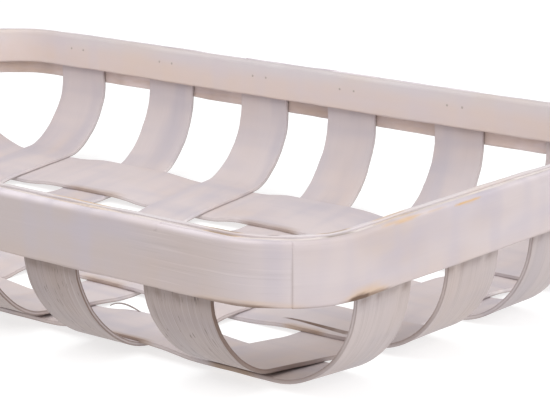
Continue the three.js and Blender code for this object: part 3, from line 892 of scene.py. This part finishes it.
def outer_hoop_look(along, up, share):
    """The outer hoop's wear and painted shade, how far its fibres show, and where light is painted
    on it.
    """
    around = from_right_end(along)
    above = up - OUTER_HOOP_BOTTOM
    below = OUTER_HOOP_TOP - up
    inside = (share > INSIDE_SHARE) * np.clip(below / INSIDE_FADE - 0.5, 0, 1)
    low = np.clip(1 - above / LOW_PEACH_HEIGHT, 0, 1)
    edge = np.clip(1 - above / LOW_EDGE_SHADE_HEIGHT, 0, 1)
    bare = np.maximum(LOW_PEACH * low, INSIDE_PEACH * inside)
    bare = np.maximum(bare, patch(along, up, BARE_STREAKS))
    # Painted shade along the lower edge, and the brown stains.
    stain_and_shade = np.maximum(LOW_EDGE_SHADE * edge, patch(along, up, BROWN_STAINS))
    seam = np.clip(1 - np.abs(around - NEAR_SEAM) / SEAM_STAIN_WIDTH, 0, 1)
    seam = seam * (share < SEAM_SHARE) * np.clip(below / SEAM_FADE, 0, 1)
    right = np.clip((RIGHT_END_PLACE - np.abs(around)) / RIGHT_END_FADE, 0, 1)
    # A painted highlight on the crown, weaker at the right end, and painted light on the right
    # end's outside.
    crown = np.clip(1.3 - below / CROWN_HIGHLIGHT_DEPTH, 0, 1)
    painted_light_and_cool_tone = np.maximum(RIGHT_END_LIGHT * right, crown * (CROWN_HIGHLIGHT - CROWN_HIGHLIGHT_LESS * right))
    # Painted light on the hoop's inside as well, where it stands in shade.
    painted_light_and_cool_tone = np.maximum(painted_light_and_cool_tone, inside)
    fibrous = np.maximum(patch(along, up, FIBROUS_PLACES), OUTER_FIBRES + CROWN_FIBRES * crown)
    return np.column_stack((SEAM_GREY * seam, bare, stain_and_shade)), fibrous, painted_light_and_cool_tone


for name, start, end, seed in (
    ("outer_hoop_right", NEAR_SEAM - LAP_LENGTH, FAR_SEAM, 1.0),
    ("outer_hoop_left", FAR_SEAM - LAP_LENGTH, NEAR_SEAM + 4 * QUARTER, 2.0),
):
    bent_hoop(
        name,
        start + HALF_SEAM,
        end - HALF_SEAM,
        0,
        OUTER_HOOP_THICKNESS,
        (CROWN_ROUND, SLOT_EASE),
        CROWN_STRETCH,
        seed,
        outer_hoop_finish,
        outer_hoop_look,
    )


# The inner hoop: one thinner strip of the same bamboo, bent round the inside of the turned-up
# staves and lapped on the front side. It stands a little above the outer hoop.
INNER_HOOP_BOTTOM, INNER_HOOP_TOP = [corner.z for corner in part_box("inner_hoop")]
INNER_HOOP_OUTSIDE = 6.6 * MM
INNER_HOOP_THICKNESS = 3.4 * MM
INNER_HOOP_ROUND = 1.7 * MM
INNER_SEAM_X = 4.52 * MM
INNER_SEAM = -QUARTER + INNER_SEAM_X

# The same thick bamboo with a thinner wash: peach, and a cooler white along the upper third.
inner_hoop_finish = whitewashed_bamboo(
    "thinly_washed_hoop_bamboo", "d9cac5", "d5ced0", "dbc8bb", "d3c9cd", 0.1, 0.2
)
INNER_BARE_STREAKS = [
    (-246 * MM, 71 * MM, 18 * MM, 1.2 * MM, 0.7),
    (-172 * MM, 71 * MM, 11 * MM, 1.2 * MM, 0.7),
    (-117 * MM, 71 * MM, 12 * MM, 1.0 * MM, 0.6),
    (-83 * MM, 71 * MM, 12 * MM, 1.0 * MM, 0.6),
]
INNER_BROWN_STAINS = [
    (-172 * MM, 71 * MM, 8 * MM, 0.8 * MM, 0.6),
    (-148 * MM, 71 * MM, 3 * MM, 0.8 * MM, 0.7),
    (-117 * MM, 71 * MM, 9 * MM, 0.8 * MM, 0.5),
]
INNER_TOP_SHARE = 0.4
INNER_PEACH = 0.09
INNER_PEACH_START = 6 * MM
INNER_PEACH_FADE = 14 * MM
# Painted shade along the lower edge, the depth of the cooler upper white, and painted shade on the
# crown, more at the back.
INNER_EDGE_SHADE = 0.3
INNER_COOL_DEPTH = 5.5 * MM
INNER_CROWN_DEPTH = 2 * MM
INNER_CROWN_SHADE = 0.12
FAR_CROWN_SHADE = 0.2
FAR_CROWN_FADE = 60 * MM
INNER_FIBRES = 0.08
INNER_CROWN_FIBRES = 0.2


def inner_hoop_look(along, up, share):
    """The inner hoop's wear and painted shade, how far its fibres show, and where its upper part
    turns a cooler white.
    """
    below = INNER_HOOP_TOP - up
    low = np.clip((below - INNER_PEACH_START) / INNER_PEACH_FADE, 0, 1)
    edge = np.clip(1 - (up - INNER_HOOP_BOTTOM) / LOW_EDGE_SHADE_HEIGHT, 0, 1)
    far = np.clip(from_right_end(along) / FAR_CROWN_FADE - 1, 0, 1)
    crown = np.clip(1 - below / INNER_CROWN_DEPTH, 0, 1)
    # Painted shade on the crown, more at the back.
    greyed = (INNER_CROWN_SHADE + FAR_CROWN_SHADE * far) * crown
    streaks = (share > INNER_TOP_SHARE) * patch(along, up, INNER_BARE_STREAKS)
    stains = (share > INNER_TOP_SHARE) * patch(along, up, INNER_BROWN_STAINS)
    bare = np.maximum(INNER_PEACH * low, streaks)
    # Painted shade along the lower edge, and the brown stains.
    stain_and_shade = np.maximum(INNER_EDGE_SHADE * edge, stains)
    fibrous = INNER_FIBRES + INNER_CROWN_FIBRES * crown
    painted_light_and_cool_tone = np.clip(1.6 - below / INNER_COOL_DEPTH, 0, 1)
    return np.column_stack((greyed, bare, stain_and_shade)), fibrous, painted_light_and_cool_tone


bent_hoop(
    "inner_hoop",
    INNER_SEAM - LAP_LENGTH + HALF_SEAM,
    INNER_SEAM + 4 * QUARTER - HALF_SEAM,
    INNER_HOOP_OUTSIDE,
    INNER_HOOP_OUTSIDE + INNER_HOOP_THICKNESS,
    (SLOT_EASE, INNER_HOOP_ROUND),
    1,
    3.0,
    inner_hoop_finish,
    inner_hoop_look,
)


# The rim filler: a thin strip of bamboo laid on the staves' ends in the slot between the hoops, so
# that the rim's top is nearly closed. It is cut at the middle of the right end.
FILLER_BOTTOM, FILLER_TOP = [corner.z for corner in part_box("rim_filler")]
FILLER_OUTSIDE = 4.24 * MM
FILLER_THICKNESS = 2.3 * MM
FILLER_CELLS_UP = 3
FILLER_EASE = 0.25 * MM
FILLER_INSET = 0.1 * MM
FILLER_WAVER = 0.18 * MM
FILLER_WAVER_LENGTH = 75 * MM
FILLER_RIPPLE = 0.1 * MM
FILLER_RIPPLE_LENGTH = 31 * MM
FILLER_FIBRES = 0.8
FILLER_BARE_PLACES = [
    (-245 * MM, FILLER_TOP, 24 * MM, 9 * MM, 0.25),
    (-172 * MM, FILLER_TOP, 11 * MM, 9 * MM, 0.6),
    (-83 * MM, FILLER_TOP, 15 * MM, 9 * MM, 0.3),
]
FILLER_DARK_PLACES = [
    (-172 * MM, FILLER_TOP, 8 * MM, 9 * MM, 0.5),
    (-117 * MM, FILLER_TOP, 9 * MM, 9 * MM, 0.6),
]

# Thinly washed bamboo: the fibres show through as tan and grey lines.
filler_finish = whitewashed_bamboo(
    "thinly_washed_split_bamboo", "d8cecb", "d4cbc6", "d0c0ae", "c4b9b5", 0.4, 0.3
)
form = flat_bar(
    4 * QUARTER - 2 * HALF_SEAM,
    FILLER_TOP - FILLER_BOTTOM,
    FILLER_THICKNESS,
    HOOP_CELL,
    FILLER_CELLS_UP,
    [],
)
ease_edges(form, FILLER_EASE, EASE_SEGMENTS, 1, 1)
ease_edges(form, FILLER_EASE, EASE_SEGMENTS, 1, -1)
along, height, out = np.array([v.co for v in form.verts]).T
along = along + 2 * QUARTER
swing = FILLER_WAVER * waver(along, 4.0, FILLER_WAVER_LENGTH)
swing += FILLER_RIPPLE * waver(along, 5.0, FILLER_RIPPLE_LENGTH)
x, y = rim_place(along, FILLER_OUTSIDE + FILLER_THICKNESS / 2 - out)
up = (FILLER_BOTTOM + FILLER_TOP) / 2 + height + (height > 0) * (swing - FILLER_INSET)
bare = patch(along, up, FILLER_BARE_PLACES)
stain_and_shade = patch(along, up, FILLER_DARK_PLACES)
finish_piece(
    "laid_rim_filler",
    form,
    np.column_stack((x, y, up)),
    np.column_stack((along, height, out)),
    (
        np.column_stack((np.zeros_like(along), bare, stain_and_shade)),
        np.full(len(along), FILLER_FIBRES),
        np.zeros(len(along)),
    ),
    filler_finish,
    "rim_filler",
)


# The brads: forty short pieces of wire, two through each stave's end, driven from the inside
# through the inner hoop and painted over. Each is turned as a point, a shank and a domed head.
BRAD_RADIUS = 0.75 * MM
BRAD_POINT = 1.2 * MM
BRAD_SIDES = 14
BRAD_MERGING = 0.01 * MM

# The head's dome: how far in from its top, and how wide there, as a share of the shank's radius.
BRAD_DOME = [(0, 0), (0.04 * MM, 0.4), (0.175 * MM, 0.8), (0.35 * MM, 1)]

# Painted steel wire: dull and grey-brown, where the wash has worn off the heads.
brad_finish = bpy.data.materials.new("painted_steel_wire")
brad_finish.use_nodes = True
brad_shader = brad_finish.node_tree.nodes["Principled BSDF"]
brad_shader.inputs["Base Color"].default_value = linear("b8ada6")
brad_shader.inputs["Roughness"].default_value = 0.55
brad_shader.inputs["Metallic"].default_value = 0.2


def driven_brad(name):
    """One brad, turned round X from its outline and laid where its node is."""
    low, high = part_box(name)
    middle = (low + high) / 2
    along_x = high.x - low.x > high.y - low.y
    outwards = math.copysign(1, middle.x if along_x else middle.y)
    length = (high.x - low.x) if along_x else (high.y - low.y)
    form = bmesh.new()
    outline = [(run, share * BRAD_RADIUS) for run, share in BRAD_DOME]
    outline += [(length - BRAD_POINT, BRAD_RADIUS), (length, 0)]
    verts = [form.verts.new((run, 0, radius)) for run, radius in outline]
    edges = [form.edges.new(pair) for pair in zip(verts, verts[1:])]
    bmesh.ops.spin(
        form,
        geom=verts + edges,
        cent=(0, 0, 0),
        axis=(1, 0, 0),
        angle=2 * math.pi,
        steps=BRAD_SIDES,
        use_merge=True,
    )
    bmesh.ops.remove_doubles(form, verts=form.verts, dist=BRAD_MERGING)
    bmesh.ops.recalc_face_normals(form, faces=form.faces)
    turn = (0 if outwards > 0 else math.pi) if along_x else outwards * math.pi / 2
    bmesh.ops.rotate(form, verts=form.verts, matrix=Euler((0, 0, turn)).to_matrix())
    head = low if outwards > 0 else high
    spot = (head.x, middle.y, middle.z) if along_x else (middle.x, head.y, middle.z)
    bmesh.ops.translate(form, vec=spot, verts=form.verts)
    mesh = bpy.data.meshes.new(name)
    form.to_mesh(mesh)
    form.free()
    mesh.materials.append(brad_finish)
    mesh.shade_smooth()
    piece = bpy.data.objects.new(f"driven_{name}", mesh)
    bpy.context.scene.collection.objects.link(piece)
    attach(piece, "root")
    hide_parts(name)


for kind, strips, ends in (
    ("cross", range(1, 7), ("front", "back")),
    ("long", range(1, 5), ("left", "right")),
):
    for number in strips:
        for end in ends:
            for side in ("a", "b"):
                driven_brad(f"brad_{kind}_{number}_{end}_{side}")
